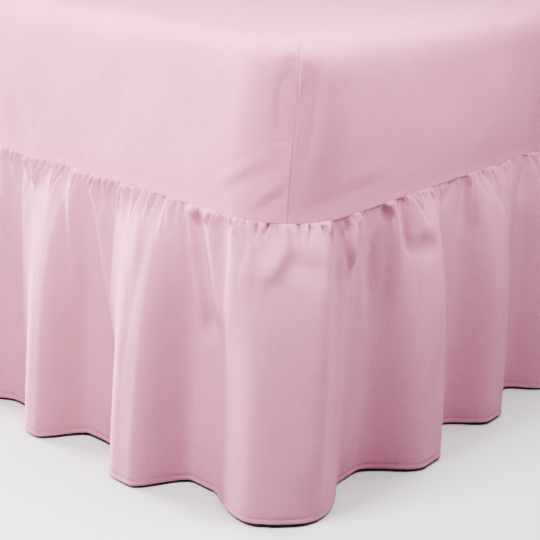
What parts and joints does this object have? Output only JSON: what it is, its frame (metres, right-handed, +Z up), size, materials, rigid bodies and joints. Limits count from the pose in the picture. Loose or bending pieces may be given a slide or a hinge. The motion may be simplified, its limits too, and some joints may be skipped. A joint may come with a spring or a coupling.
{
  "type": "fitted bed skirt on a mattress and bed base",
  "caption": "Fitted bed skirt: a fitted sheet with box sides and a gathered frill that falls in deep folds to the floor, on a plain double mattress and bed base.",
  "frame": {"origin": "on the floor under the middle of the bed", "axes": "+Z up, +Y along the bed towards the head end, +X across the bed"},
  "size_m": [1.5349, 2.0893, 0.6515],
  "materials": {
    "sheet_cloth": "matt plain-weave pink polycotton",
    "frill_cloth": "matt plain-weave pink polycotton, gathered",
    "mattress_ticking": "plain woven ticking",
    "base_upholstery": "plain upholstery cloth"
  },
  "bodies": {
    "root": {"sheet": "sheet_cloth", "frill": "frill_cloth", "mattress": "mattress_ticking", "base": "base_upholstery"}
  },
  "joints": []
}
